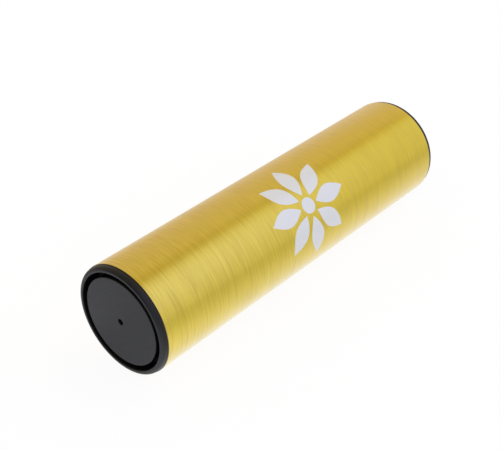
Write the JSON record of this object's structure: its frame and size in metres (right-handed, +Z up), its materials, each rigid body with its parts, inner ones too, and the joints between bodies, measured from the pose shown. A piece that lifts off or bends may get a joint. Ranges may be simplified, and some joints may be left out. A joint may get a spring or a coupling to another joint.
{
  "type": "ganza shaker",
  "caption": "Hand-held tube shaker: a brushed metal tube with a pressed-in plastic cap at each end and loose steel shot sealed inside.",
  "frame": {"origin": "on the surface that the tube lies on, under the middle of its length", "axes": "+X along the tube, from the near cap to the far cap; +Z up; +Y across the tube"},
  "size_m": [0.2288, 0.06, 0.06],
  "materials": {
    "anodised_tube": "brushed round the tube and anodised gold",
    "moulded_cap": "moulded black, finely matte on the face and satin on the rim",
    "steel_shot": "tumbled bright"
  },
  "bodies": {
    "shell": {"tube": "anodised_tube", "near_cap": "moulded_cap", "far_cap": "moulded_cap"},
    "lead_shot": {"lead_pellet": "steel_shot"},
    "shot_1": {"shot_group_1": "steel_shot"},
    "shot_2": {"shot_group_2": "steel_shot"},
    "shot_3": {"shot_group_3": "steel_shot"},
    "shot_4": {"shot_group_4": "steel_shot"},
    "shot_5": {"shot_group_5": "steel_shot"},
    "shot_6": {"shot_group_6": "steel_shot"},
    "shot_7": {"shot_group_7": "steel_shot"},
    "shot_8": {"shot_group_8": "steel_shot"}
  },
  "joints": [
    {"name": "shot_run", "type": "slide", "parent": "shell", "child": "lead_shot", "axis": [1, 0, 0], "range_m": [-0.0415, 0.0415]},
    {"name": "shot_swing_1", "type": "hinge", "parent": "lead_shot", "child": "shot_1", "pos_m": [0, 0, 0.03], "axis": [1, 0, 0], "continuous": true},
    {"name": "shot_swing_2", "type": "hinge", "parent": "lead_shot", "child": "shot_2", "pos_m": [0, 0, 0.03], "axis": [1, 0, 0], "continuous": true},
    {"name": "shot_swing_3", "type": "hinge", "parent": "lead_shot", "child": "shot_3", "pos_m": [0, 0, 0.03], "axis": [1, 0, 0], "continuous": true},
    {"name": "shot_swing_4", "type": "hinge", "parent": "lead_shot", "child": "shot_4", "pos_m": [0, 0, 0.03], "axis": [1, 0, 0], "continuous": true},
    {"name": "shot_swing_5", "type": "hinge", "parent": "lead_shot", "child": "shot_5", "pos_m": [0, 0, 0.03], "axis": [1, 0, 0], "continuous": true},
    {"name": "shot_swing_6", "type": "hinge", "parent": "lead_shot", "child": "shot_6", "pos_m": [0, 0, 0.03], "axis": [1, 0, 0], "continuous": true},
    {"name": "shot_swing_7", "type": "hinge", "parent": "lead_shot", "child": "shot_7", "pos_m": [0, 0, 0.03], "axis": [1, 0, 0], "continuous": true},
    {"name": "shot_swing_8", "type": "hinge", "parent": "lead_shot", "child": "shot_8", "pos_m": [0, 0, 0.03], "axis": [1, 0, 0], "continuous": true}
  ]
}
